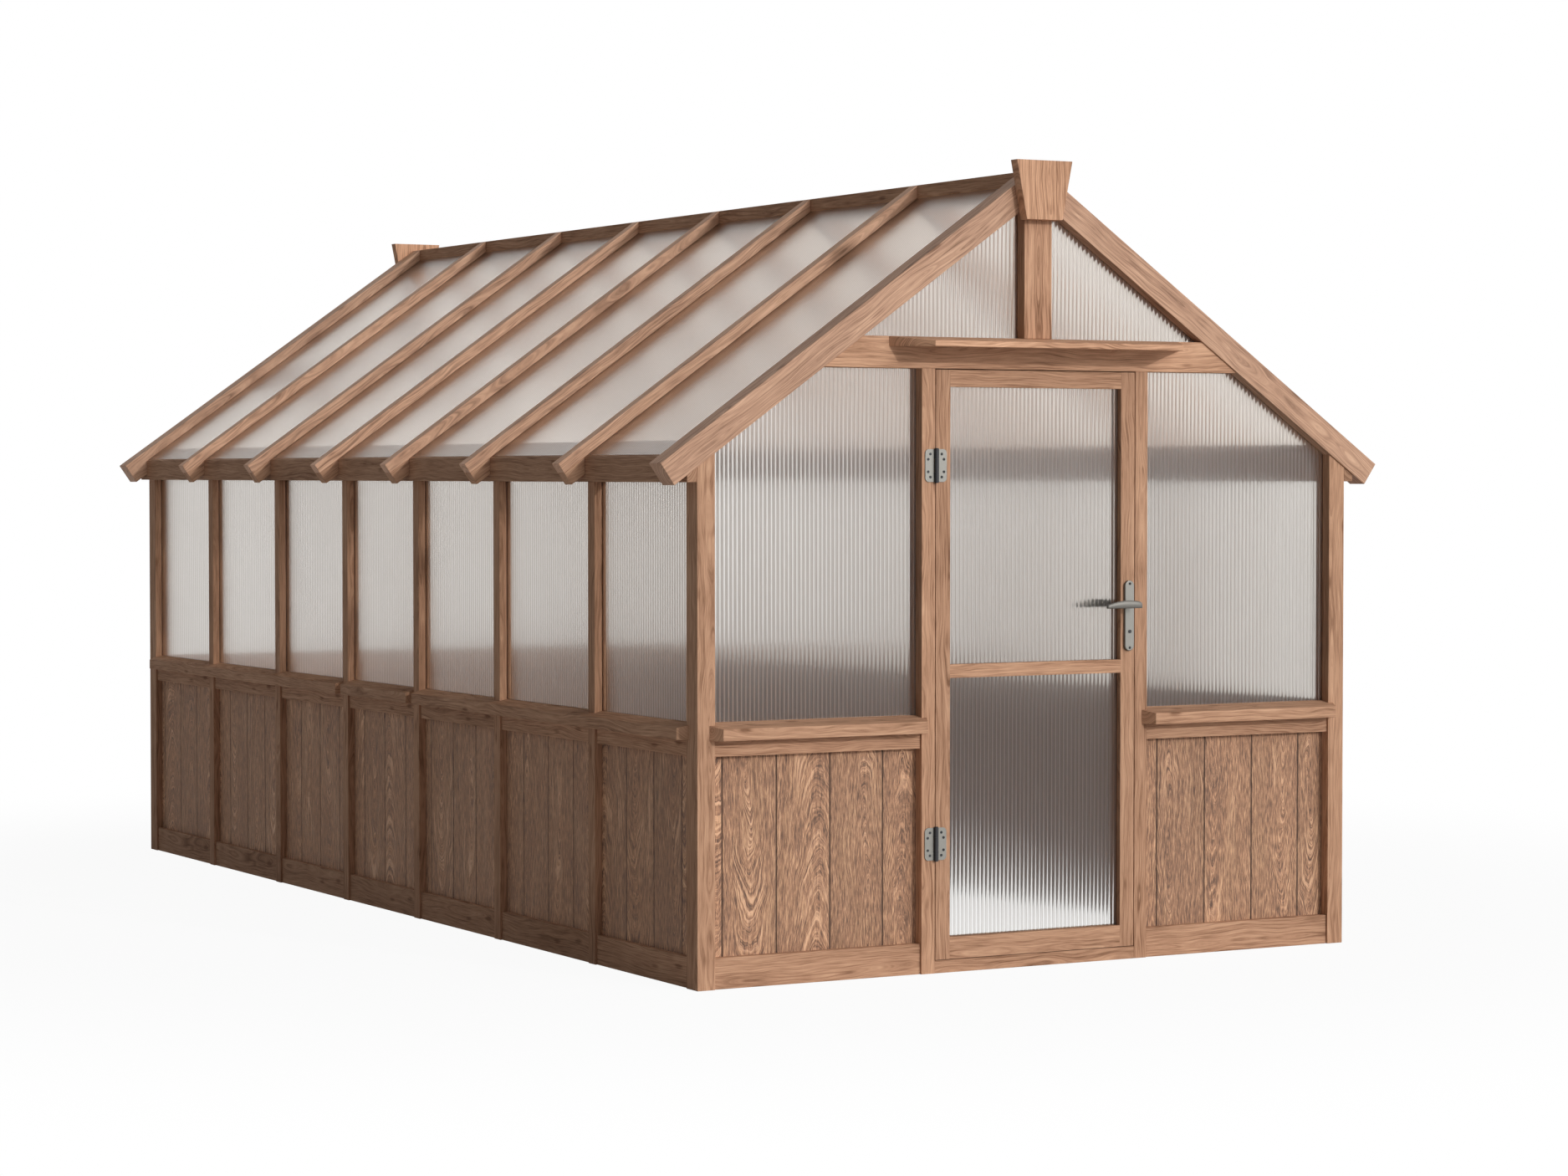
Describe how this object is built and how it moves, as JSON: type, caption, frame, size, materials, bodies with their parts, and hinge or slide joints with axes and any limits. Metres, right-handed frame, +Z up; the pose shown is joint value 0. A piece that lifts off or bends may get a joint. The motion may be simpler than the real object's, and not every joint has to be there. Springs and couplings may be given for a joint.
{
  "type": "greenhouse",
  "caption": "Timber-framed gable greenhouse: boarded lower walls, ribbed translucent sheets above and on the roof, framed sheet door with lever lock, small door canopy, gable keystones.",
  "frame": {"origin": "middle of the overall box at ground level", "axes": "+Y from the door front to the rear gable, +X to the right seen from the door front, +Z up"},
  "size_m": [2.672, 5.065, 2.54],
  "materials": {
    "timber": "oiled, smooth planed",
    "boards": "oiled, brushed grain",
    "sheet": "translucent, ribbed",
    "steel": "satin",
    "dark_steel": "dark satin"
  },
  "bodies": {
    "frame": {"corner_posts": "timber", "door_post_left": "timber", "door_post_right": "timber", "rear_posts": "timber", "left_posts": "timber", "right_posts": "timber", "threshold": "timber", "head_stop": "timber", "front_rails": "timber", "rear_rails": "timber", "left_rails": "timber", "right_rails": "timber", "front_sills": "timber", "rear_sills": "timber", "left_sills": "timber", "right_sills": "timber", "collar_beams": "timber", "king_posts": "timber", "keystones": "timber", "door_canopy": "timber", "eave_beams": "timber", "wall_plates": "timber", "ridge_board": "timber", "gable_rafters": "timber", "left_rafters": "timber", "right_rafters": "timber", "left_rafter_caps": "timber", "right_rafter_caps": "timber", "front_boards": "boards", "rear_boards": "boards", "left_boards": "boards", "right_boards": "boards", "front_windows": "sheet", "rear_windows": "sheet", "left_windows": "sheet", "right_windows": "sheet", "gable_panes": "sheet", "left_roof_panes": "sheet", "right_roof_panes": "sheet", "hinge_post_leaves": "steel", "hinge_post_screws": "steel", "strike_plate": "steel", "hinge_pins": "dark_steel"},
    "door": {"door_hinge_stile": "timber", "door_lock_stile": "timber", "door_rails": "timber", "door_panes": "sheet", "hinge_door_leaves": "steel", "door_screws": "steel", "lock_case": "steel", "handle_plates": "steel"},
    "lever": {"outer_lever": "steel", "inner_lever": "steel"},
    "latch": {"latch_bolt": "steel"},
    "turn": {"thumb_turn": "steel", "coin_release": "steel"},
    "bolt": {"dead_bolt": "steel"}
  },
  "joints": [
    {"name": "door_swing", "type": "hinge", "parent": "frame", "child": "door", "pos_m": [-0.3735, -2.3957, 0.99], "axis": [0, 0, -1], "range_deg": [0, 110]},
    {"name": "lever_turn", "type": "hinge", "parent": "door", "child": "lever", "pos_m": [0.349, -2.3885, 1.14], "axis": [0, -1, 0], "range_deg": [0, 40], "stiffness_Nm_per_rad": 1.5, "springref_deg": -20.05},
    {"name": "latch_slide", "type": "slide", "parent": "door", "child": "latch", "axis": [-1, 0, 0], "range_m": [0, 0.01]},
    {"name": "thumb_turn_turn", "type": "hinge", "parent": "door", "child": "turn", "pos_m": [0.349, -2.3885, 1.053], "axis": [0, 1, 0], "range_deg": [0, 85]},
    {"name": "dead_bolt_slide", "type": "slide", "parent": "door", "child": "bolt", "axis": [1, 0, 0], "range_m": [0, 0.012]}
  ],
  "couplings": [
    {"joint": "latch_slide", "follows": "lever_turn", "m_per_rad": 0.0143},
    {"joint": "thumb_turn_turn", "follows": "dead_bolt_slide", "rad_per_m": 123.6}
  ]
}
